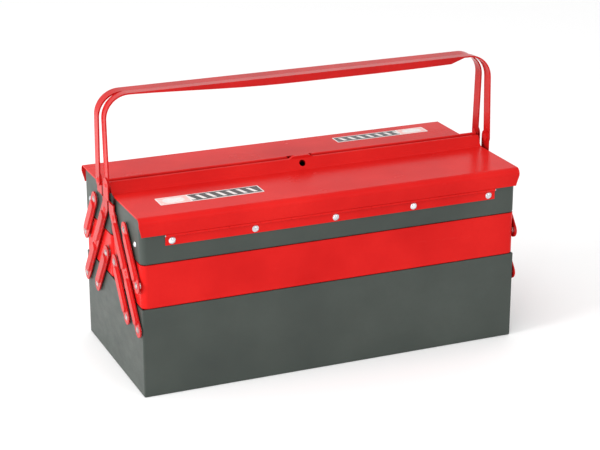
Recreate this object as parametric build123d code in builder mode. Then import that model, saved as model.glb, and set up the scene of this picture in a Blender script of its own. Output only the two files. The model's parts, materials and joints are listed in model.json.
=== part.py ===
from build123d import *
import math
import os

os.makedirs("parts", exist_ok=True)

# Five-tray cantilever toolbox in pressed sheet steel.
# Millimetres. Origin: middle of the base's underside. +X along the length, front towards -Y, +Z up.
# The front half is modelled, and the rear half is its mirror image about the XZ plane.

# ---- driving dimensions ----
HALF_L = 237.5          # half length of the base
HALF_D = 107.25         # half depth of the base
SHEET = 0.8             # sheet thickness
BASE_TOP = 107.5        # height of the base's rim
BASE_CORNER = 1.8       # vertical corner radius of the base
TRAY_CORNER = 7.0       # vertical corner radius of the trays
FOOT_R = 2.4            # bottom edge radius of the trays
BASE_FOOT_R = 1.3       # bottom edge radius of the base
HEM = 1.6               # thickness of the folded rim
HEM_H = 7.0             # height of the folded rim

TRAY_HALF_L = 237.0     # half length of the four trays
MID_Z0, MID_Z1 = 107.6, 160.3
TOP_Z0, TOP_Z1 = 160.5, 213.8
MID_Y1 = -0.75          # inner face of the front middle tray
TOP_Y1 = -1.75          # inner face of the front top tray

# linkage, in the (y, z) plane
LINK_DY, LINK_DZ = 41.0, 53.75              # one link, from lower to upper pivot
Q = (-99.25, 81.5)                          # long arm on the base
P = (-57.25, 81.5)                          # short link on the base
M = (Q[0] + LINK_DY, Q[1] + LINK_DZ)        # long arm on the middle tray
P2 = (P[0] + LINK_DY, P[1] + LINK_DZ)       # short link on the middle tray
R = (Q[0], Q[1] + LINK_DZ)                  # upper link on the middle tray
K = (Q[0] + 2 * LINK_DY, Q[1] + 2 * LINK_DZ)    # long arm on the top tray
R2 = (R[0] + LINK_DY, R[1] + LINK_DZ)       # upper link on the top tray
BAIL = (-12.0, 228.0)                       # handle pivot
KNEE = (BAIL[0], Q[1] + (BAIL[0] - Q[0]) * LINK_DZ / LINK_DY)

LINK_W = 18.0           # width of links and arms
LINK_X0, LINK_X1 = 239.3, 240.9             # plate of links and arms
RIB_X1 = 243.0          # top of the pressed rib
ARM_X0, ARM_X1 = 245.6, 246.8               # outward set top end of the long arm
RIVET_R = 3.0
HOLE_R = 3.05
HEAD_R = 3.9
HEAD_H = 1.4

# handles
BAIL_T = 1.8
BAIL_W = 14.0
BAIL_IN = 243.6         # inner face of the leg that runs inside the arm
BAIL_OUT = 247.0        # inner face of the leg that runs outside the arm
BAIL_TOP = 334.5        # top of the grip, measured along the leaning handle
BAIL_R = 29.0
BAIL_LEAN = 2.6         # degrees each handle leans to the middle, so that the two grips meet
GRIP_D = 7.2            # depth of the grip's turned-down edge at the middle
GRIP_T = 2.0

# lids
LID_HALF_L = 239.5
LID_Y0 = -109.5         # skirt's outer face beside the hinge
LID_Y1 = -1.25
LID_TOP = 217.0
SKIRT_Z = 195.1
EDGE_Z = 214.4
RIDGE_FOOT = -12.25
FOLD_Y = -112.34         # where the lines of the flat top and of the skirt meet
FOLD_R = 7.0
SKIRT_Y = -109.55        # foot of the skirt
RIDGE_HEAD = -5.4
RIDGE_Z = 229.0
REAR_RIDGE_Z = 230.6
LOCK_R = 4.0
LOCK_UP = 7.5           # distance of the padlock hole up the riser
RISER = math.hypot(RIDGE_HEAD - RIDGE_FOOT, RIDGE_Z - LID_TOP)
LOCK_Y = RIDGE_FOOT + LOCK_UP * (RIDGE_HEAD - RIDGE_FOOT) / RISER
LOCK_Z = LID_TOP + LOCK_UP * (RIDGE_Z - LID_TOP) / RISER
TAB_Z = 232.2           # raised tab over the padlock hole

# piano hinge
HINGE_Y, HINGE_Z = -109.15, 193.4
KNUCKLE_R = 1.5
PIN_R = 0.75
HINGE_HALF = 208.0
KNUCKLES = 33
LEAF_Z0 = 181.8
RIVET_XS = (-200.0, -100.0, 0.0, 100.0, 200.0)
LEAF_RIVET_Z = 186.9


def dome_mid(x0, r, h):
    """Middle point of the arc from (x0, r) to (x0 + h, 0) that is square to the axis at its top."""
    big = (r * r + h * h) / (2 * h)
    a = math.asin(r / big) / 2
    return (x0 + h - big + big * math.cos(a), big * math.sin(a))


# ---- base ----
with BuildPart() as base_box:
    with BuildSketch():
        RectangleRounded(2 * HALF_L, 2 * HALF_D, BASE_CORNER)
    extrude(amount=BASE_TOP)
    fillet(base_box.edges().group_by(Axis.Z)[0], BASE_FOOT_R)
    offset(amount=-SHEET, openings=base_box.faces().sort_by(Axis.Z)[-1])
    with BuildSketch(Plane.XY.offset(BASE_TOP - HEM_H)):
        RectangleRounded(2 * (HALF_L - SHEET), 2 * (HALF_D - SHEET), BASE_CORNER - SHEET)
        RectangleRounded(2 * (HALF_L - HEM), 2 * (HALF_D - HEM), BASE_CORNER - HEM, mode=Mode.SUBTRACT)
    extrude(amount=HEM_H)
    with BuildSketch(Plane.YZ.offset(-HALF_L - 1)):
        with Locations(Q, P, (-Q[0], Q[1]), (-P[0], P[1])):
            Circle(HOLE_R)
    extrude(amount=2 * HALF_L + 2, mode=Mode.SUBTRACT)
base_box.part.label = "base_box"
export_step(base_box.part, "parts/base_box.step")

# pivot rivet of the base: inner head, shank, standing collar, domed outer head
with BuildPart() as base_rivet:
    with BuildSketch():
        with BuildLine():
            Polyline((HALF_L - SHEET - 1.0, 0), (HALF_L - SHEET - 1.0, 4.2), (HALF_L - SHEET, 4.2),
                     (HALF_L - SHEET, RIVET_R), (HALF_L, RIVET_R), (HALF_L, 4.6), (LINK_X0 - 0.1, 4.6),
                     (LINK_X0 - 0.1, RIVET_R), (LINK_X1 + 0.15, RIVET_R), (LINK_X1 + 0.15, HEAD_R))
            ThreePointArc((LINK_X1 + 0.15, HEAD_R), dome_mid(LINK_X1 + 0.15, HEAD_R, HEAD_H), (LINK_X1 + 0.15 + HEAD_H, 0))
            Line((LINK_X1 + 0.15 + HEAD_H, 0), (HALF_L - SHEET - 1.0, 0))
        make_face()
    revolve(axis=Axis.X)

with BuildPart() as base_pivot_rivets:
    with Locations((0, Q[0], Q[1]), (0, P[0], P[1]), (0, -Q[0], Q[1]), (0, -P[0], P[1])):
        add(base_rivet.part)
    mirror(about=Plane.YZ)
base_pivot_rivets.part.label = "base_pivot_rivets"
export_step(base_pivot_rivets.part, "parts/base_pivot_rivets.step")

# ---- middle trays ----
MID_DEPTH = MID_Y1 + HALF_D
MID_YC = (MID_Y1 - HALF_D) / 2
with BuildPart() as front_middle_tray:
    with BuildSketch(Plane((0, MID_YC, MID_Z0))):
        RectangleRounded(2 * TRAY_HALF_L, MID_DEPTH, TRAY_CORNER)
    extrude(amount=MID_Z1 - MID_Z0)
    fillet(front_middle_tray.edges().group_by(Axis.Z)[0], FOOT_R)
    offset(amount=-SHEET, openings=front_middle_tray.faces().sort_by(Axis.Z)[-1])
    with BuildSketch(Plane((0, MID_YC, MID_Z1 - HEM_H))):
        RectangleRounded(2 * (TRAY_HALF_L - SHEET), MID_DEPTH - 2 * SHEET, TRAY_CORNER - SHEET)
        RectangleRounded(2 * (TRAY_HALF_L - HEM), MID_DEPTH - 2 * HEM, TRAY_CORNER - HEM, mode=Mode.SUBTRACT)
    extrude(amount=HEM_H)
    with BuildSketch(Plane.YZ.offset(-TRAY_HALF_L - 1)):
        with Locations(M, R, P2):
            Circle(HOLE_R)
    extrude(amount=2 * TRAY_HALF_L + 2, mode=Mode.SUBTRACT)
front_middle_tray.part.label = "front_middle_tray"
export_step(front_middle_tray.part, "parts/front_middle_tray.step")

# pivot rivet of the trays, whose end walls stand half a millimetre further in
with BuildPart() as tray_rivet:
    with BuildSketch():
        with BuildLine():
            Polyline((TRAY_HALF_L - SHEET - 1.3, 0), (TRAY_HALF_L - SHEET - 1.3, 3.6), (TRAY_HALF_L - SHEET - 0.4, 3.6),
                     (TRAY_HALF_L - SHEET - 0.4, RIVET_R), (TRAY_HALF_L, RIVET_R), (TRAY_HALF_L, 4.6), (LINK_X0 - 0.1, 4.6),
                     (LINK_X0 - 0.1, RIVET_R), (LINK_X1 + 0.15, RIVET_R), (LINK_X1 + 0.15, HEAD_R))
            ThreePointArc((LINK_X1 + 0.15, HEAD_R), dome_mid(LINK_X1 + 0.15, HEAD_R, HEAD_H), (LINK_X1 + 0.15 + HEAD_H, 0))
            Line((LINK_X1 + 0.15 + HEAD_H, 0), (TRAY_HALF_L - SHEET - 1.3, 0))
        make_face()
    revolve(axis=Axis.X)

with BuildPart() as front_middle_tray_rivets:
    with Locations((0, M[0], M[1]), (0, R[0], R[1]), (0, P2[0], P2[1])):
        add(tray_rivet.part)
    mirror(about=Plane.YZ)
front_middle_tray_rivets.part.label = "front_middle_tray_rivets"
export_step(front_middle_tray_rivets.part, "parts/front_middle_tray_rivets.step")

# ---- top trays ----
TOP_DEPTH = TOP_Y1 + HALF_D
TOP_YC = (TOP_Y1 - HALF_D) / 2
END_RIVET = (-86.0, 180.0)
with BuildPart() as front_top_tray:
    with BuildSketch(Plane((0, TOP_YC, TOP_Z0))):
        RectangleRounded(2 * TRAY_HALF_L, TOP_DEPTH, TRAY_CORNER)
    extrude(amount=TOP_Z1 - TOP_Z0)
    fillet(front_top_tray.edges().group_by(Axis.Z)[0], FOOT_R)
    offset(amount=-SHEET, openings=front_top_tray.faces().sort_by(Axis.Z)[-1])
    with BuildSketch(Plane((0, TOP_YC, TOP_Z1 - HEM_H))):
        RectangleRounded(2 * (TRAY_HALF_L - SHEET), TOP_DEPTH - 2 * SHEET, TRAY_CORNER - SHEET)
        RectangleRounded(2 * (TRAY_HALF_L - HEM), TOP_DEPTH - 2 * HEM, TRAY_CORNER - HEM, mode=Mode.SUBTRACT)
    extrude(amount=HEM_H)
    with BuildSketch(Plane.YZ.offset(-TRAY_HALF_L - 1)):
        with Locations(K, R2):
            Circle(HOLE_R)
        with Locations(END_RIVET):
            Circle(2.05)
    extrude(amount=2 * TRAY_HALF_L + 2, mode=Mode.SUBTRACT)
front_top_tray.part.label = "front_top_tray"
export_step(front_top_tray.part, "parts/front_top_tray.step")

with BuildPart() as front_top_tray_rivets:
    with Locations((0, K[0], K[1]), (0, R2[0], R2[1])):
        add(tray_rivet.part)
    mirror(about=Plane.YZ)
front_top_tray_rivets.part.label = "front_top_tray_rivets"
export_step(front_top_tray_rivets.part, "parts/front_top_tray_rivets.step")

# plain closing rivet in each end wall of the top tray
with BuildPart() as end_rivet:
    with BuildSketch():
        with BuildLine():
            Polyline((TRAY_HALF_L - SHEET - 0.8, 0), (TRAY_HALF_L - SHEET - 0.8, 3.0), (TRAY_HALF_L - SHEET, 3.0),
                     (TRAY_HALF_L - SHEET, 2.0), (TRAY_HALF_L, 2.0), (TRAY_HALF_L, 3.6))
            ThreePointArc((TRAY_HALF_L, 3.6), dome_mid(TRAY_HALF_L, 3.6, 1.6), (TRAY_HALF_L + 1.6, 0))
            Line((TRAY_HALF_L + 1.6, 0), (TRAY_HALF_L - SHEET - 0.8, 0))
        make_face()
    revolve(axis=Axis.X)

with BuildPart() as front_top_tray_end_rivets:
    with Locations((0, END_RIVET[0], END_RIVET[1])):
        add(end_rivet.part)
    mirror(about=Plane.YZ)
front_top_tray_end_rivets.part.label = "front_top_tray_end_rivets"
export_step(front_top_tray_end_rivets.part, "parts/front_top_tray_end_rivets.step")

# ---- links ----
LINK_LEN = math.hypot(LINK_DY, LINK_DZ)
LINK_ANG = math.degrees(math.atan2(LINK_DZ, LINK_DY))
RIB_W = 12.5
RIB_LEN = LINK_LEN - 23.0

with BuildPart() as front_lower_link_right:
    with BuildSketch(Plane.YZ.offset(LINK_X0)):
        with Locations(((P[0] + P2[0]) / 2, (P[1] + P2[1]) / 2)):
            SlotCenterToCenter(LINK_LEN, LINK_W, rotation=LINK_ANG)
        with Locations(P, P2):
            Circle(HOLE_R, mode=Mode.SUBTRACT)
    extrude(amount=LINK_X1 - LINK_X0)
    with BuildSketch(Plane.YZ.offset(LINK_X1)):
        with Locations(((P[0] + P2[0]) / 2, (P[1] + P2[1]) / 2)):
            SlotCenterToCenter(RIB_LEN, RIB_W, rotation=LINK_ANG)
    extrude(amount=RIB_X1 - LINK_X1, taper=30)
front_lower_link_right.part.label = "front_lower_link_right"
export_step(front_lower_link_right.part, "parts/front_lower_link_right.step")

with BuildPart() as front_upper_link_right:
    with BuildSketch(Plane.YZ.offset(LINK_X0)):
        with Locations(((R[0] + R2[0]) / 2, (R[1] + R2[1]) / 2)):
            SlotCenterToCenter(LINK_LEN, LINK_W, rotation=LINK_ANG)
        with Locations(R, R2):
            Circle(HOLE_R, mode=Mode.SUBTRACT)
    extrude(amount=LINK_X1 - LINK_X0)
    with BuildSketch(Plane.YZ.offset(LINK_X1)):
        with Locations(((R[0] + R2[0]) / 2, (R[1] + R2[1]) / 2)):
            SlotCenterToCenter(RIB_LEN, RIB_W, rotation=LINK_ANG)
    extrude(amount=RIB_X1 - LINK_X1, taper=30)
front_upper_link_right.part.label = "front_upper_link_right"
export_step(front_upper_link_right.part, "parts/front_upper_link_right.step")

# ---- long arms: straight up to the knee, then upright and set outwards to carry the handle ----
ARM_LEN = math.hypot(KNEE[0] - Q[0], KNEE[1] - Q[1])
SET_Z0, SET_Z1 = 204.0, 212.0
with BuildPart() as front_long_arm_right:
    with BuildSketch(Plane.YZ.offset(LINK_X0)):
        with Locations(((Q[0] + KNEE[0]) / 2, (Q[1] + KNEE[1]) / 2)):
            SlotCenterToCenter(ARM_LEN, LINK_W, rotation=LINK_ANG)
        with Locations((BAIL[0], (KNEE[1] + SET_Z0) / 2)):
            Rectangle(LINK_W, SET_Z0 - KNEE[1])
        with BuildSketch(mode=Mode.SUBTRACT):
            with Locations((BAIL[0], SET_Z0 + 10)):
                Rectangle(4 * LINK_W, 20)
        with Locations(Q, M, K):
            Circle(HOLE_R, mode=Mode.SUBTRACT)
    extrude(amount=LINK_X1 - LINK_X0)
    with BuildSketch(Plane(origin=(0, BAIL[0], 0), x_dir=(1, 0, 0), z_dir=(0, -1, 0))) as joggle:
        with BuildLine():
            Polyline((LINK_X0, SET_Z0), (LINK_X0, SET_Z0 + 1.2), (ARM_X0, SET_Z1 + 0.8), (ARM_X0, BAIL[1]), (ARM_X1, BAIL[1]),
                     (ARM_X1, SET_Z1), (LINK_X1, SET_Z0 + 0.4), (LINK_X1, SET_Z0), close=True)
        make_face()
    extrude(amount=LINK_W / 2, both=True)
    with BuildSketch(Plane.YZ.offset(ARM_X0)):
        with Locations(BAIL):
            Circle(LINK_W / 2)
    extrude(amount=ARM_X1 - ARM_X0)
    with BuildSketch(Plane.YZ.offset(ARM_X0 - 1)):
        with Locations(BAIL):
            Circle(HOLE_R)
    extrude(amount=ARM_X1 - ARM_X0 + 2, mode=Mode.SUBTRACT)
    with BuildSketch(Plane.YZ.offset(LINK_X1)):
        with Locations(((Q[0] + M[0]) / 2, (Q[1] + M[1]) / 2), ((M[0] + K[0]) / 2, (M[1] + K[1]) / 2)):
            SlotCenterToCenter(RIB_LEN, RIB_W, rotation=LINK_ANG)
    extrude(amount=RIB_X1 - LINK_X1, taper=30)
front_long_arm_right.part.label = "front_long_arm_right"
export_step(front_long_arm_right.part, "parts/front_long_arm_right.step")

# ---- handle rivets: the left one holds an inner leg, the right one an outer leg ----
with BuildPart() as inner_leg_rivet:
    with BuildSketch():
        with BuildLine():
            Polyline((BAIL_IN - 1.2, 0), (BAIL_IN - 1.2, 4.5), (BAIL_IN - 0.15, 4.5), (BAIL_IN - 0.15, RIVET_R),
                     (ARM_X1, RIVET_R), (ARM_X1, HEAD_R))
            ThreePointArc((ARM_X1, HEAD_R), dome_mid(ARM_X1, HEAD_R, HEAD_H), (ARM_X1 + HEAD_H, 0))
            Line((ARM_X1 + HEAD_H, 0), (BAIL_IN - 1.2, 0))
        make_face()
    revolve(axis=Axis.X)

with BuildPart() as outer_leg_rivet:
    with BuildSketch():
        with BuildLine():
            Polyline((ARM_X0 - 1.0, 0), (ARM_X0 - 1.0, 4.5), (ARM_X0, 4.5), (ARM_X0, RIVET_R),
                     (BAIL_OUT + BAIL_T + 0.15, RIVET_R), (BAIL_OUT + BAIL_T + 0.15, HEAD_R))
            ThreePointArc((BAIL_OUT + BAIL_T + 0.15, HEAD_R), dome_mid(BAIL_OUT + BAIL_T + 0.15, HEAD_R, HEAD_H),
                          (BAIL_OUT + BAIL_T + 0.15 + HEAD_H, 0))
            Line((BAIL_OUT + BAIL_T + 0.15 + HEAD_H, 0), (ARM_X0 - 1.0, 0))
        make_face()
    revolve(axis=Axis.X)

with BuildPart() as front_handle_rivets:
    with Locations((0, BAIL[0], BAIL[1])):
        add(outer_leg_rivet.part)
        add(inner_leg_rivet.part, rotation=(0, 0, 180))
front_handle_rivets.part.label = "front_handle_rivets"
export_step(front_handle_rivets.part, "parts/front_handle_rivets.step")

# ---- handle: flat bar bent to a bail, with the front edge of the grip turned down ----
LEAN = math.radians(BAIL_LEAN)
UP = BAIL_TOP - BAIL[1]
bail_plane = Plane(origin=(0, BAIL[0], BAIL[1]), x_dir=(1, 0, 0), z_dir=(0, -math.cos(LEAN), math.sin(LEAN)))
with BuildPart() as front_handle_bail:
    with BuildSketch(bail_plane) as bail_outline:
        with BuildLine():
            Polyline((-BAIL_IN - BAIL_T, 0), (-BAIL_IN - BAIL_T, UP), (BAIL_OUT + BAIL_T, UP), (BAIL_OUT + BAIL_T, 0), close=True)
        make_face()
        fillet(bail_outline.vertices().group_by(Axis.Y)[-1], BAIL_R)
        with BuildSketch(mode=Mode.SUBTRACT) as bail_gap:
            with BuildLine():
                Polyline((-BAIL_IN, -2), (-BAIL_IN, UP - BAIL_T), (BAIL_OUT, UP - BAIL_T), (BAIL_OUT, -2), close=True)
            make_face()
            fillet(bail_gap.vertices().group_by(Axis.Y)[-1], BAIL_R - BAIL_T)
    extrude(amount=BAIL_W / 2, both=True)
    # rounded leg ends
    for x in (-BAIL_IN - BAIL_T, BAIL_OUT):
        with BuildSketch(Plane.YZ.offset(x)):
            with Locations(BAIL):
                Circle(BAIL_W / 2)
        extrude(amount=BAIL_T)
    # turned-down edge: full depth from the middle to one end, running out slowly towards the other
    EDGE_DOWN = UP - BAIL_T
    with BuildSketch(bail_plane.offset(BAIL_W / 2)):
        with BuildLine():
            Polyline((-212, UP), (-212, EDGE_DOWN))
            Spline((-212, EDGE_DOWN), (-150, EDGE_DOWN - 2.6), (-92, EDGE_DOWN - 5.4), (-42, EDGE_DOWN - GRIP_D + 0.3), (0, EDGE_DOWN - GRIP_D),
                   (60, EDGE_DOWN - GRIP_D), (125, EDGE_DOWN - GRIP_D + 0.2), (194, EDGE_DOWN - GRIP_D + 1.2))
            Polyline((194, EDGE_DOWN - GRIP_D + 1.2), (212, EDGE_DOWN), (212, UP), (-212, UP))
        make_face()
    extrude(amount=-GRIP_T)
    with BuildSketch(Plane.YZ.offset(-260)):
        with Locations(BAIL):
            Circle(HOLE_R)
    extrude(amount=520, mode=Mode.SUBTRACT)
front_handle_bail.part.label = "front_handle_bail"
export_step(front_handle_bail.part, "parts/front_handle_bail.step")

# ---- lids: one bent sheet of constant profile, cut square at the ends ----


def lid_part(ridge_z, tab):
    with BuildPart() as lid:
        with BuildSketch(Plane.YZ.offset(-LID_HALF_L)) as profile:
            with BuildLine() as bend:
                Polyline((SKIRT_Y, SKIRT_Z), (FOLD_Y, LID_TOP), (RIDGE_FOOT, LID_TOP), (RIDGE_HEAD, ridge_z), (LID_Y1, ridge_z), (LID_Y1, EDGE_Z))
                fillet([v for v in bend.vertices() if abs(v.X - FOLD_Y) < 0.01], FOLD_R)
                fillet([v for v in bend.vertices() if abs(v.X - RIDGE_FOOT) < 0.01], 6.0)
                fillet([v for v in bend.vertices() if abs(v.X - RIDGE_HEAD) < 0.01], 1.6)
                fillet([v for v in bend.vertices() if abs(v.X - LID_Y1) < 0.01 and abs(v.Y - ridge_z) < 0.01], 1.4)
                offset(amount=SHEET, side=Side.RIGHT)
            make_face()
        extrude(amount=2 * LID_HALF_L)
        # folded hem along the two ends of the flat top
        with BuildSketch(Plane.XY.offset(LID_TOP - SHEET)):
            with Locations((LID_HALF_L - 3.0, (FOLD_Y + RIDGE_FOOT) / 2), (-LID_HALF_L + 3.0, (FOLD_Y + RIDGE_FOOT) / 2)):
                Rectangle(6.0, RIDGE_FOOT - FOLD_Y - 18.0)
        extrude(amount=-SHEET)
        # skirt ends cut back towards the foot
        with BuildSketch(Plane(origin=(0, -60, 0), x_dir=(1, 0, 0), z_dir=(0, -1, 0))):
            with BuildLine():
                Polyline((LID_HALF_L, 208.0), (LID_HALF_L + 2, 208.0), (LID_HALF_L + 2, SKIRT_Z - 1), (LID_HALF_L - 3.2, SKIRT_Z - 1), (LID_HALF_L - 2.6, 198.0), close=True)
            make_face()
            with BuildLine():
                Polyline((-LID_HALF_L, 208.0), (-LID_HALF_L - 2, 208.0), (-LID_HALF_L - 2, SKIRT_Z - 1), (-LID_HALF_L + 3.2, SKIRT_Z - 1), (-LID_HALF_L + 2.6, 198.0), close=True)
            make_face()
        extrude(amount=60, mode=Mode.SUBTRACT)
        if tab:
            # raised tab over the padlock hole
            with BuildSketch(Plane(origin=(0, LID_Y1, 0), x_dir=(1, 0, 0), z_dir=(0, -1, 0))) as tab_face:
                with BuildLine():
                    Polyline((-15.5, RIDGE_Z - 0.5), (-10.0, TAB_Z), (10.0, TAB_Z), (15.5, RIDGE_Z - 0.5), close=True)
                make_face()
                fillet(tab_face.vertices().group_by(Axis.Y)[-1], 3.0)
            extrude(amount=LID_Y1 - RIDGE_HEAD + 0.2)
            with BuildSketch(Plane(origin=(0, LID_Y1 - SHEET, 0), x_dir=(1, 0, 0), z_dir=(0, -1, 0))):
                with BuildLine():
                    Polyline((-13.2, RIDGE_Z - 2.0), (-13.2, RIDGE_Z), (-9.4, TAB_Z - SHEET), (9.4, TAB_Z - SHEET), (13.2, RIDGE_Z), (13.2, RIDGE_Z - 2.0), close=True)
                make_face()
            extrude(amount=LID_Y1 - RIDGE_HEAD - 2 * SHEET, mode=Mode.SUBTRACT)
        else:
            # matching notch
            with BuildSketch(Plane(origin=(0, LID_Y1 + 1, 0), x_dir=(1, 0, 0), z_dir=(0, -1, 0))):
                with BuildLine():
                    Polyline((-17.5, ridge_z + 1), (-13.0, ridge_z - 4.2), (13.0, ridge_z - 4.2), (17.5, ridge_z + 1), close=True)
                make_face()
            extrude(amount=3.4, mode=Mode.SUBTRACT)
        # padlock hole through the riser, and a slot for the shackle in the meeting edge
        riser = Plane(origin=(0, LOCK_Y, LOCK_Z), x_dir=(1, 0, 0), z_dir=(0, -(RIDGE_Z - LID_TOP), RIDGE_HEAD - RIDGE_FOOT))
        with BuildSketch(riser):
            Circle(LOCK_R)
        extrude(amount=2.4, both=True, mode=Mode.SUBTRACT)
        with BuildSketch(Plane(origin=(0, LID_Y1, 0), x_dir=(1, 0, 0), z_dir=(0, -1, 0))):
            with Locations((0, (EDGE_Z - 1 + 226.0) / 2)):
                Rectangle(14, 226.0 - EDGE_Z + 1)
        extrude(amount=1.6, both=True, mode=Mode.SUBTRACT)
    return lid.part


# the front lid is one sheet, held here as its pan and its ridge
front_sheet = lid_part(RIDGE_Z, True)
with BuildPart() as front_lid:
    add(front_sheet)
    split(bisect_by=Plane.XZ.offset(20), keep=Keep.TOP)
front_lid.part.label = "front_lid"
export_step(front_lid.part, "parts/front_lid.step")

with BuildPart() as front_lid_ridge:
    add(front_sheet)
    split(bisect_by=Plane.XZ.offset(20), keep=Keep.BOTTOM)
front_lid_ridge.part.label = "front_lid_ridge"
export_step(front_lid_ridge.part, "parts/front_lid_ridge.step")

with BuildPart() as rear_lid:
    mirror(lid_part(REAR_RIDGE_Z, False), about=Plane.XZ)
rear_lid.part.label = "rear_lid"
export_step(rear_lid.part, "parts/rear_lid.step")

# ---- piano hinge ----
PITCH = 2 * HINGE_HALF / KNUCKLES
GAP = 0.3
KNUCKLE_XS = [-HINGE_HALF + PITCH * (i + 0.5) for i in range(KNUCKLES)]
TRAY_XS, LID_XS = KNUCKLE_XS[0::2], KNUCKLE_XS[1::2]

with BuildPart() as front_hinge_leaf_tray:
    with BuildSketch(Plane(origin=(0, -HALF_D, 0), x_dir=(1, 0, 0), z_dir=(0, -1, 0))):
        with Locations((0, (LEAF_Z0 + HINGE_Z - 1.9) / 2)):
            Rectangle(2 * HINGE_HALF, HINGE_Z - 1.9 - LEAF_Z0)
        with Locations(*[(x, HINGE_Z - 1.2) for x in TRAY_XS]):
            Rectangle(PITCH - GAP, 2.4)
        with Locations(*[(x, LEAF_RIVET_Z) for x in RIVET_XS]):
            Circle(1.85, mode=Mode.SUBTRACT)
    extrude(amount=1.0)
    with Locations(*[(x, HINGE_Y, HINGE_Z) for x in TRAY_XS]):
        Cylinder(KNUCKLE_R, PITCH - GAP, rotation=(0, 90, 0))
    with Locations((0, HINGE_Y, HINGE_Z)):
        Cylinder(PIN_R + 0.05, 2 * HINGE_HALF + 2, rotation=(0, 90, 0), mode=Mode.SUBTRACT)
front_hinge_leaf_tray.part.label = "front_hinge_leaf_tray"
export_step(front_hinge_leaf_tray.part, "parts/front_hinge_leaf_tray.step")

with BuildPart() as front_hinge_leaf_lid:
    with BuildSketch(Plane(origin=(0, LID_Y0 + SHEET, 0), x_dir=(1, 0, 0), z_dir=(0, 1, 0))):
        with Locations((0, -(HINGE_Z + 1.9 + 200) / 2)):
            Rectangle(2 * HINGE_HALF, 200 - HINGE_Z - 1.9)
        with Locations(*[(x, -(HINGE_Z + 1.2)) for x in LID_XS]):
            Rectangle(PITCH - GAP, 2.4)
    extrude(amount=0.8)
    with Locations(*[(x, HINGE_Y, HINGE_Z) for x in LID_XS]):
        Cylinder(KNUCKLE_R, PITCH - GAP, rotation=(0, 90, 0))
    with Locations((0, HINGE_Y, HINGE_Z)):
        Cylinder(PIN_R + 0.05, 2 * HINGE_HALF + 2, rotation=(0, 90, 0), mode=Mode.SUBTRACT)
front_hinge_leaf_lid.part.label = "front_hinge_leaf_lid"
export_step(front_hinge_leaf_lid.part, "parts/front_hinge_leaf_lid.step")

with BuildPart() as front_hinge_pin:
    with Locations((0, HINGE_Y, HINGE_Z)):
        Cylinder(PIN_R, 2 * HINGE_HALF, rotation=(0, 90, 0))
    with Locations((HINGE_HALF + 0.25, HINGE_Y, HINGE_Z), (-HINGE_HALF - 0.25, HINGE_Y, HINGE_Z)):
        Cylinder(1.2, 0.8, rotation=(0, 90, 0))
front_hinge_pin.part.label = "front_hinge_pin"
export_step(front_hinge_pin.part, "parts/front_hinge_pin.step")

# domed rivets that hold the lower leaf; their shanks end flush on the tray wall
with BuildPart() as leaf_rivet:
    with BuildSketch():
        with BuildLine():
            Polyline((0, 0), (0, 1.8), (1.0, 1.8), (1.0, 4.1))
            ThreePointArc((1.0, 4.1), dome_mid(1.0, 4.1, 1.7), (2.7, 0))
            Line((2.7, 0), (0, 0))
        make_face()
    revolve(axis=Axis.X)

with BuildPart() as front_hinge_rivets:
    with Locations(*[(x, -HALF_D, LEAF_RIVET_Z) for x in RIVET_XS]):
        add(leaf_rivet.part, rotation=(0, 0, -90))
front_hinge_rivets.part.label = "front_hinge_rivets"
export_step(front_hinge_rivets.part, "parts/front_hinge_rivets.step")

# ---- decals, thin plates on the lids ----
LABEL_T = 0.3
with BuildPart() as front_lid_label:
    with BuildSketch(Plane.XY.offset(LID_TOP)):
        with Locations((-137.5, -61.0)):
            RectangleRounded(126.0, 24.0, 1.5)
    extrude(amount=LABEL_T)
front_lid_label.part.label = "front_lid_label"
export_step(front_lid_label.part, "parts/front_lid_label.step")

with BuildPart() as rear_lid_label:
    with BuildSketch(Plane.XY.offset(LID_TOP)):
        with Locations((145.0, 80.0)):
            RectangleRounded(126.0, 20.0, 1.5)
    extrude(amount=LABEL_T)
rear_lid_label.part.label = "rear_lid_label"
export_step(rear_lid_label.part, "parts/rear_lid_label.step")

# ---- left-hand links and arms, mirrored across the middle of the length ----
with BuildPart() as front_lower_link_left:
    mirror(front_lower_link_right.part, about=Plane.YZ)
front_lower_link_left.part.label = "front_lower_link_left"
export_step(front_lower_link_left.part, "parts/front_lower_link_left.step")

with BuildPart() as front_upper_link_left:
    mirror(front_upper_link_right.part, about=Plane.YZ)
front_upper_link_left.part.label = "front_upper_link_left"
export_step(front_upper_link_left.part, "parts/front_upper_link_left.step")

with BuildPart() as front_long_arm_left:
    mirror(front_long_arm_right.part, about=Plane.YZ)
front_long_arm_left.part.label = "front_long_arm_left"
export_step(front_long_arm_left.part, "parts/front_long_arm_left.step")

# ---- rear half: mirror images about the middle of the depth ----
with BuildPart() as rear_middle_tray:
    mirror(front_middle_tray.part, about=Plane.XZ)
rear_middle_tray.part.label = "rear_middle_tray"
export_step(rear_middle_tray.part, "parts/rear_middle_tray.step")

with BuildPart() as rear_middle_tray_rivets:
    mirror(front_middle_tray_rivets.part, about=Plane.XZ)
rear_middle_tray_rivets.part.label = "rear_middle_tray_rivets"
export_step(rear_middle_tray_rivets.part, "parts/rear_middle_tray_rivets.step")

with BuildPart() as rear_top_tray:
    mirror(front_top_tray.part, about=Plane.XZ)
rear_top_tray.part.label = "rear_top_tray"
export_step(rear_top_tray.part, "parts/rear_top_tray.step")

with BuildPart() as rear_top_tray_rivets:
    mirror(front_top_tray_rivets.part, about=Plane.XZ)
rear_top_tray_rivets.part.label = "rear_top_tray_rivets"
export_step(rear_top_tray_rivets.part, "parts/rear_top_tray_rivets.step")

with BuildPart() as rear_top_tray_end_rivets:
    mirror(front_top_tray_end_rivets.part, about=Plane.XZ)
rear_top_tray_end_rivets.part.label = "rear_top_tray_end_rivets"
export_step(rear_top_tray_end_rivets.part, "parts/rear_top_tray_end_rivets.step")

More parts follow.
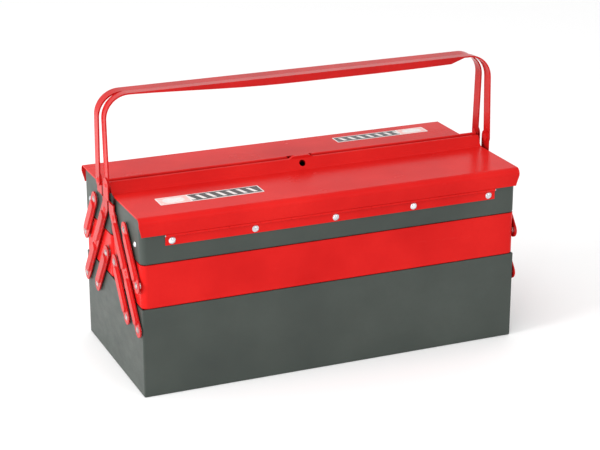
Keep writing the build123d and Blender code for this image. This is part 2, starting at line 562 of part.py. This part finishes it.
with BuildPart() as rear_lower_link_left:
    mirror(front_lower_link_left.part, about=Plane.XZ)
rear_lower_link_left.part.label = "rear_lower_link_left"
export_step(rear_lower_link_left.part, "parts/rear_lower_link_left.step")

with BuildPart() as rear_lower_link_right:
    mirror(front_lower_link_right.part, about=Plane.XZ)
rear_lower_link_right.part.label = "rear_lower_link_right"
export_step(rear_lower_link_right.part, "parts/rear_lower_link_right.step")

with BuildPart() as rear_upper_link_left:
    mirror(front_upper_link_left.part, about=Plane.XZ)
rear_upper_link_left.part.label = "rear_upper_link_left"
export_step(rear_upper_link_left.part, "parts/rear_upper_link_left.step")

with BuildPart() as rear_upper_link_right:
    mirror(front_upper_link_right.part, about=Plane.XZ)
rear_upper_link_right.part.label = "rear_upper_link_right"
export_step(rear_upper_link_right.part, "parts/rear_upper_link_right.step")

with BuildPart() as rear_long_arm_left:
    mirror(front_long_arm_left.part, about=Plane.XZ)
rear_long_arm_left.part.label = "rear_long_arm_left"
export_step(rear_long_arm_left.part, "parts/rear_long_arm_left.step")

with BuildPart() as rear_long_arm_right:
    mirror(front_long_arm_right.part, about=Plane.XZ)
rear_long_arm_right.part.label = "rear_long_arm_right"
export_step(rear_long_arm_right.part, "parts/rear_long_arm_right.step")

# the two handles are one design, turned half round
with BuildPart() as rear_handle_bail:
    add(front_handle_bail.part, rotation=(0, 0, 180))
rear_handle_bail.part.label = "rear_handle_bail"
export_step(rear_handle_bail.part, "parts/rear_handle_bail.step")

with BuildPart() as rear_handle_rivets:
    add(front_handle_rivets.part, rotation=(0, 0, 180))
rear_handle_rivets.part.label = "rear_handle_rivets"
export_step(rear_handle_rivets.part, "parts/rear_handle_rivets.step")

with BuildPart() as rear_hinge_leaf_tray:
    mirror(front_hinge_leaf_tray.part, about=Plane.XZ)
rear_hinge_leaf_tray.part.label = "rear_hinge_leaf_tray"
export_step(rear_hinge_leaf_tray.part, "parts/rear_hinge_leaf_tray.step")

with BuildPart() as rear_hinge_leaf_lid:
    mirror(front_hinge_leaf_lid.part, about=Plane.XZ)
rear_hinge_leaf_lid.part.label = "rear_hinge_leaf_lid"
export_step(rear_hinge_leaf_lid.part, "parts/rear_hinge_leaf_lid.step")

with BuildPart() as rear_hinge_pin:
    mirror(front_hinge_pin.part, about=Plane.XZ)
rear_hinge_pin.part.label = "rear_hinge_pin"
export_step(rear_hinge_pin.part, "parts/rear_hinge_pin.step")

with BuildPart() as rear_hinge_rivets:
    mirror(front_hinge_rivets.part, about=Plane.XZ)
rear_hinge_rivets.part.label = "rear_hinge_rivets"
export_step(rear_hinge_rivets.part, "parts/rear_hinge_rivets.step")
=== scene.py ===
import json
import math

import bmesh
import bpy
from mathutils import Matrix, Vector


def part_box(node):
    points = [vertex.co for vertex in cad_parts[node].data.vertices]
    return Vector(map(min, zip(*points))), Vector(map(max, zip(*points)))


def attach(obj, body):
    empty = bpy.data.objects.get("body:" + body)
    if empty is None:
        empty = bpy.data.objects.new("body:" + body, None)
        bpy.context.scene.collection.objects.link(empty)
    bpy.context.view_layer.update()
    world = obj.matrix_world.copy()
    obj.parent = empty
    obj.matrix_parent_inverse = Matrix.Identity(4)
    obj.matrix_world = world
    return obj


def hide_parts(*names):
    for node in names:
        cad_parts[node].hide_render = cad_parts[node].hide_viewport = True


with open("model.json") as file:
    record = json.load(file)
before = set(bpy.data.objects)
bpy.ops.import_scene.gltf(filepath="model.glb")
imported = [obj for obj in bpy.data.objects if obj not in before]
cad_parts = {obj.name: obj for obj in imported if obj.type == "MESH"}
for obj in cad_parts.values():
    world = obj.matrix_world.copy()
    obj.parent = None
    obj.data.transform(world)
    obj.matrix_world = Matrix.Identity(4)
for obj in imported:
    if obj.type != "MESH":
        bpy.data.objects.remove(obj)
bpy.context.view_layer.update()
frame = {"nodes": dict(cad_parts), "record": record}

scene = bpy.context.scene
nodes = frame["nodes"]

# ------------------------------------------------------------------ camera
cam_data = bpy.data.cameras.new("camera")
cam_data.sensor_width = 36.0
cam_data.lens = 107.875
cam_data.clip_start = 0.05
cam_data.clip_end = 50.0
cam = bpy.data.objects.new("camera", cam_data)
scene.collection.objects.link(cam)
cam.location = (-0.80187, -1.8983, 0.87895)
cam.rotation_euler = (math.radians(70.3148), 0.0, math.radians(-22.9113))
scene.camera = cam

# ------------------------------------------------------------------ small helpers


def lin(r, g, b):
    """sRGB 0-255 to linear RGBA."""
    def f(c):
        c /= 255.0
        return c / 12.92 if c <= 0.04045 else ((c + 0.055) / 1.055) ** 2.4
    return (f(r), f(g), f(b), 1.0)


class Mat:
    """A thin wrapper that makes a node tree readable."""

    def __init__(self, name):
        self.m = bpy.data.materials.new(name)
        self.m.use_nodes = True
        self.t = self.m.node_tree
        self.t.nodes.clear()
        self.out = self.t.nodes.new("ShaderNodeOutputMaterial")
        self.bsdf = self.t.nodes.new("ShaderNodeBsdfPrincipled")
        self.t.links.new(self.bsdf.outputs[0], self.out.inputs[0])

    def node(self, kind, **props):
        n = self.t.nodes.new(kind)
        for k, v in props.items():
            setattr(n, k, v)
        return n

    def link(self, a, b):
        self.t.links.new(a, b)

    def coord(self):
        if not hasattr(self, "_tc"):
            self._tc = self.node("ShaderNodeTexCoord")
        return self._tc.outputs["Object"]

    def noise(self, scale, detail=4.0, rough=0.55, stretch=None):
        n = self.node("ShaderNodeTexNoise")
        n.inputs["Scale"].default_value = scale
        n.inputs["Detail"].default_value = detail
        n.inputs["Roughness"].default_value = rough
        if stretch:
            mp = self.node("ShaderNodeMapping")
            mp.inputs["Scale"].default_value = stretch
            self.link(self.coord(), mp.inputs["Vector"])
            self.link(mp.outputs[0], n.inputs["Vector"])
        else:
            self.link(self.coord(), n.inputs["Vector"])
        return n.outputs["Fac"]

    def ramp(self, fac, stops, interp="LINEAR"):
        r = self.node("ShaderNodeValToRGB")
        r.color_ramp.interpolation = interp
        els = r.color_ramp.elements
        while len(els) > 1:
            els.remove(els[-1])
        els[0].position = stops[0][0]
        els[0].color = stops[0][1]
        for p, c in stops[1:]:
            e = els.new(p)
            e.color = c
        self.link(fac, r.inputs[0])
        return r.outputs["Color"]

    def mapr(self, v, a, b, c, d, clamp=True):
        n = self.node("ShaderNodeMapRange")
        n.clamp = clamp
        n.inputs["From Min"].default_value = a
        n.inputs["From Max"].default_value = b
        n.inputs["To Min"].default_value = c
        n.inputs["To Max"].default_value = d
        self.link(v, n.inputs["Value"])
        return n.outputs["Result"]

    def math(self, op, a, b=None, clamp=False):
        n = self.node("ShaderNodeMath", operation=op)
        n.use_clamp = clamp
        for i, v in enumerate((a, b)):
            if v is None:
                continue
            if isinstance(v, (int, float)):
                n.inputs[i].default_value = v
            else:
                self.link(v, n.inputs[i])
        return n.outputs[0]

    def mix(self, fac, a, b, blend="MIX"):
        n = self.node("ShaderNodeMix", data_type="RGBA", blend_type=blend)
        for i, v in ((0, fac), (6, a), (7, b)):
            if isinstance(v, (int, float)):
                n.inputs[i].default_value = v
            elif isinstance(v, tuple):
                n.inputs[i].default_value = v
            else:
                self.link(v, n.inputs[i])
        return n.outputs[2]

    def bump(self, height, strength, distance, normal=None):
        n = self.node("ShaderNodeBump")
        n.inputs["Strength"].default_value = strength
        n.inputs["Distance"].default_value = distance
        self.link(height, n.inputs["Height"])
        if normal is not None:
            self.link(normal, n.inputs["Normal"])
        return n.outputs[0]

    def edge(self, radius, lo, hi):
        """0 on flats, 1 on convex edges, from the difference between the bevelled and the true normal."""
        bv = self.node("ShaderNodeBevel", samples=6)
        bv.inputs["Radius"].default_value = radius
        geo = self.node("ShaderNodeNewGeometry")
        dot = self.node("ShaderNodeVectorMath", operation="DOT_PRODUCT")
        self.link(bv.outputs[0], dot.inputs[0])
        self.link(geo.outputs["Normal"], dot.inputs[1])
        return self.mapr(dot.outputs["Value"], hi, lo, 0.0, 1.0)


def paint(name, base, dark, light, wear, rough=(0.22, 0.34), grain=900.0, grain_h=0.00004, peel=0.00006, coat=0.0, wear_amount=0.35, spec=0.32):
    """Stoved enamel on sheet steel: orange peel, faint mottling, rubbed edges."""
    m = Mat(name)
    b = m.bsdf
    # colour: slow drift, fine mottle
    slow = m.ramp(m.noise(9.0, 3.0), [(0.30, dark), (0.52, base), (0.75, light)])
    fine = m.noise(210.0, 5.0, 0.6)
    mott = m.mix(m.mapr(fine, 0.35, 0.7, 0.0, 0.22), slow, dark)
    # worn edges, broken up by noise
    edge = m.edge(0.0005, 0.90, 0.985)
    broken = m.mapr(m.noise(130.0, 6.0, 0.7), 0.50, 0.62, 0.0, 1.0)
    worn = m.math("MULTIPLY", m.math("MULTIPLY", edge, broken), wear_amount, clamp=True)
    col = m.mix(worn, mott, wear)
    m.link(col, b.inputs["Base Color"])
    # roughness: smears, faint scuffs along the length
    scuff = m.noise(38.0, 6.0, 0.65, stretch=(0.35, 1.0, 2.2))
    r = m.mapr(scuff, 0.30, 0.72, rough[0], rough[1])
    r2 = m.math("ADD", r, m.math("MULTIPLY", worn, 0.2), clamp=True)
    m.link(r2, b.inputs["Roughness"])
    b.inputs["Coat Weight"].default_value = coat
    b.inputs["Coat Roughness"].default_value = 0.12
    b.inputs["Specular IOR Level"].default_value = spec
    # bump: orange peel plus fine grain
    h1 = m.bump(m.noise(330.0, 2.0, 0.5), 0.35, peel)
    h2 = m.bump(m.noise(grain, 3.0, 0.6), 0.5, grain_h, h1)
    m.link(h2, b.inputs["Normal"])
    return m.m


red = paint("red_enamel", lin(202, 28, 26), lin(190, 22, 21), lin(211, 34, 30), lin(126, 52, 44), rough=(0.20, 0.29), coat=0.0, wear_amount=0.35, spec=0.06)
link_red = paint("link_enamel", lin(184, 19, 18), lin(160, 14, 14), lin(200, 26, 24), lin(150, 60, 54), rough=(0.18, 0.28), coat=0.0, wear_amount=0.5, spec=0.14)
grey = paint("grey_enamel", lin(58, 65, 60), lin(51, 58, 54), lin(65, 72, 67), lin(112, 116, 112), rough=(0.40, 0.52), grain=1500.0, grain_h=0.00009, peel=0.00008, coat=0.0, wear_amount=0.4)


def zinc(name, painted=(), dull=False):
    """Zinc plate; `painted` lists (y, z) centres, in metres, of rivets that were set before painting."""
    m = Mat(name)
    b = m.bsdf
    tones = [(0.3, lin(150, 132, 132)), (0.55, lin(196, 176, 176)), (0.8, lin(222, 206, 206))] if dull else \
        [(0.3, lin(186, 190, 196)), (0.55, lin(222, 224, 228)), (0.8, lin(238, 238, 238))]
    col = m.ramp(m.noise(160.0, 5.0, 0.6), tones)
    rough = m.mapr(m.noise(420.0, 4.0, 0.6), 0.3, 0.75, 0.16, 0.36)
    if painted:
        sep = m.node("ShaderNodeSeparateXYZ")
        m.link(m.coord(), sep.inputs[0])
        mask = None
        for y, z in painted:
            dy = m.math("SUBTRACT", sep.outputs[1], y)
            dz = m.math("SUBTRACT", sep.outputs[2], z)
            d = m.math("SQRT", m.math("ADD", m.math("MULTIPLY", dy, dy), m.math("MULTIPLY", dz, dz)))
            near = m.mapr(d, 0.0052, 0.0060, 1.0, 0.0)
            mask = near if mask is None else m.math("MAXIMUM", mask, near)
        # the enamel is chipped through on the crown here and there
        chip = m.mapr(m.noise(520.0, 4.0, 0.6), 0.60, 0.66, 1.0, 0.15)
        mask = m.math("MULTIPLY", mask, chip)
        enamel = m.ramp(m.noise(120.0, 3.0), [(0.3, lin(184, 17, 16)), (0.7, lin(208, 24, 21))])
        col = m.mix(mask, col, enamel)
        m.link(m.math("SUBTRACT", 1.0, mask, clamp=True), b.inputs["Metallic"])
        rough = m.math("ADD", rough, m.math("MULTIPLY", mask, 0.08))
    else:
        b.inputs["Metallic"].default_value = 1.0
    m.link(col, b.inputs["Base Color"])
    m.link(rough, b.inputs["Roughness"])
    m.link(m.bump(m.noise(700.0, 3.0, 0.6), 0.3, 0.00004), b.inputs["Normal"])
    return m.m


steel = zinc("zinc_plate")


def give(obj, mat):
    obj.data.materials.clear()
    obj.data.materials.append(mat)




def decal(name, x0, x1, y0, y1, block_left):
    """Printed vinyl: a pale rim, a dark panel with plain slanted bars, and a pale block at one end."""
    m = Mat(name)
    b = m.bsdf
    sep = m.node("ShaderNodeSeparateXYZ")
    m.link(m.coord(), sep.inputs[0])
    u = m.mapr(sep.outputs[0], x0, x1, 0.0, 1.0)
    v = m.mapr(sep.outputs[1], y0, y1, 0.0, 1.0)
    if not block_left:
        u = m.math("SUBTRACT", 1.0, u)
        v = m.math("SUBTRACT", 1.0, v)
    w, h = x1 - x0, y1 - y0
    # distance from the nearest edge, in metres
    du = m.math("MULTIPLY", m.math("MINIMUM", u, m.math("SUBTRACT", 1.0, u)), w)
    dv = m.math("MULTIPLY", m.math("MINIMUM", v, m.math("SUBTRACT", 1.0, v)), h)
    d = m.math("MINIMUM", du, dv)
    rim = m.mapr(d, 0.0013, 0.0017, 1.0, 0.0)
    # slanted bars on the dark panel, kept inside a margin
    run = m.math("ADD", m.math("MULTIPLY", u, w), m.math("MULTIPLY", v, h * 0.35))
    wave = m.math("ABSOLUTE", m.math("SUBTRACT", m.math("FRACT", m.math("MULTIPLY", run, 1.0 / 0.0125)), 0.5))
    bar = m.mapr(wave, 0.17, 0.20, 1.0, 0.0)
    inner = m.mapr(d, 0.0042, 0.0046, 0.0, 1.0)
    bar = m.math("MULTIPLY", bar, inner)
    ink = m.noise(260.0, 4.0, 0.6)
    panel = m.mix(m.mapr(ink, 0.3, 0.7, 0.0, 1.0), lin(22, 22, 24), lin(38, 38, 40))
    white = m.mix(m.mapr(ink, 0.3, 0.7, 0.0, 1.0), lin(232, 228, 226), lin(214, 208, 206))
    pink = m.mix(m.mapr(ink, 0.3, 0.7, 0.0, 1.0), lin(242, 196, 190), lin(228, 168, 162))
    dark = m.mix(bar, panel, white)
    # pale block: a plain rounded lozenge on pink
    bu = m.math("ABSOLUTE", m.math("SUBTRACT", m.mapr(u, 0.0, 0.30, -1.0, 1.0), 0.0))
    bv = m.math("ABSOLUTE", m.mapr(v, 0.0, 1.0, -1.0, 1.0))
    loz = m.mapr(m.math("ADD", m.math("POWER", bu, 2.6), m.math("POWER", bv, 2.6)), 0.34, 0.42, 1.0, 0.0)
    block = m.mix(loz, pink, white)
    side = m.mapr(u, 0.298, 0.302, 0.0, 1.0)
    col = m.mix(side, block, dark)
    line = m.mapr(m.math("ABSOLUTE", m.math("SUBTRACT", u, 0.30)), 0.006, 0.009, 1.0, 0.0)
    col = m.mix(line, col, white)
    col = m.mix(rim, col, white)
    m.link(col, b.inputs["Base Color"])
    m.link(m.mapr(m.noise(90.0, 4.0, 0.6), 0.3, 0.7, 0.16, 0.30), b.inputs["Roughness"])
    b.inputs["Specular IOR Level"].default_value = 0.4
    h1 = m.bump(m.noise(420.0, 2.0, 0.5), 0.25, 0.00004)
    m.link(m.bump(m.mapr(d, 0.0, 0.0004, 0.0, 1.0), 0.6, 0.0001, h1), b.inputs["Normal"])
    return m.m


SLOT_MAT = {"red_paint": red, "grey_paint": grey, "zinc_rivet": steel}
for sp in frame["record"]["subparts"]:
    if sp["material_slot"] in SLOT_MAT:
        give(nodes[sp["node"]], SLOT_MAT[sp["material_slot"]])

give(nodes["base_pivot_rivets"], zinc("base_rivets", dull=True))
for side in ("front", "rear"):
    give(nodes[side + "_handle_bail"], link_red)
    for end in ("left", "right"):
        for bar in ("_long_arm_", "_lower_link_", "_upper_link_"):
            give(nodes[side + bar + end], link_red)

# pivots of the long arms on the trays and of the handles, painted together with the arms
JOINTS = {j["name"]: j for j in frame["record"]["behaviour"]["joints"]}
for s in ("front", "rear"):
    mid = JOINTS[s + "_middle_tray_level"]["pos_m"]
    top = JOINTS[s + "_top_tray_level"]["pos_m"]
    bail = JOINTS[s + "_bail_fold"]["pos_m"]
    give(nodes[s + "_middle_tray_rivets"], zinc(s + "_mid_rivets", [(mid[1], mid[2])], dull=True))
    give(nodes[s + "_top_tray_rivets"], zinc(s + "_top_rivets", [(top[1], top[2])], dull=True))
    give(nodes[s + "_handle_rivets"], zinc(s + "_handle_rivets_paint", [(bail[1], bail[2])], dull=True))

# ------------------------------------------------------------------ front lid as one seamless sheet
seam_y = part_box("front_lid")[1][1]
bm = bmesh.new()
for part in ("front_lid", "front_lid_ridge"):
    me = nodes[part].data.copy()
    bm.from_mesh(me)
    bpy.data.meshes.remove(me)
cut = [f for f in bm.faces if all(abs(v.co.y - seam_y) < 2e-5 for v in f.verts)]
bmesh.ops.delete(bm, geom=cut, context="FACES")
rim = [v for v in bm.verts if abs(v.co.y - seam_y) < 2e-5]
bmesh.ops.remove_doubles(bm, verts=rim, dist=3e-5)
lid_mesh = bpy.data.meshes.new("front_lid_sheet")
bm.to_mesh(lid_mesh)
open_edges = sum(1 for e in bm.edges if len(e.link_faces) == 1 and all(abs(v.co.y - seam_y) < 2e-5 for v in e.verts))
bm.free()
lid_sheet = bpy.data.objects.new("front_lid_sheet", lid_mesh)
scene.collection.objects.link(lid_sheet)
give(lid_sheet, red)
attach(lid_sheet, "front_lid")
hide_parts("front_lid", "front_lid_ridge")
print("front lid seam: open edges", open_edges)

for name, left in (("front_lid_label", True), ("rear_lid_label", False)):
    lo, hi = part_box(name)
    give(nodes[name], decal(name + "_print", lo[0], hi[0], lo[1], hi[1], left))

# ------------------------------------------------------------------ stage
floor_mat = Mat("floor")
floor_mat.bsdf.inputs["Base Color"].default_value = lin(248, 248, 248)
floor_mat.bsdf.inputs["Roughness"].default_value = 0.75
bm = bmesh.new()
vs = [bm.verts.new((x, y, -0.0002)) for x, y in ((-6, -6), (6, -6), (6, 6), (-6, 6))]
bm.faces.new(vs)
me = bpy.data.meshes.new("floor")
bm.to_mesh(me)
bm.free()
floor = bpy.data.objects.new("floor", me)
scene.collection.objects.link(floor)
give(floor, floor_mat.m)

world = bpy.data.worlds.new("studio")
scene.world = world
world.use_nodes = True
world.node_tree.nodes["Background"].inputs[0].default_value = (1.0, 1.0, 1.0, 1.0)
world.node_tree.nodes["Background"].inputs[1].default_value = 0.95


def area(name, loc, target, size, power, size_y=None):
    d = bpy.data.lights.new(name, "AREA")
    d.shape = "RECTANGLE"
    d.size = size
    d.size_y = size_y or size
    d.energy = power
    o = bpy.data.objects.new(name, d)
    scene.collection.objects.link(o)
    o.location = loc
    o.rotation_euler = (Vector(target) - Vector(loc)).to_track_quat("-Z", "Y").to_euler()
    return o


area("key_left", (-2.3, -0.35, 0.95), (0, 0, 0.10), 1.0, 42.0)
area("top_soft", (-0.5, -0.9, 2.3), (0, 0, 0.2), 1.3, 9.0)
area("edge_strip", (-1.25, -1.9, 0.75), (-0.22, -0.1, 0.12), 0.10, 3.0, 1.3)
area("front_fill", (0.9, -2.6, 1.3), (0, 0, 0.15), 1.2, 6.0)

scene.view_settings.view_transform = "Standard"
scene.view_settings.look = "None"
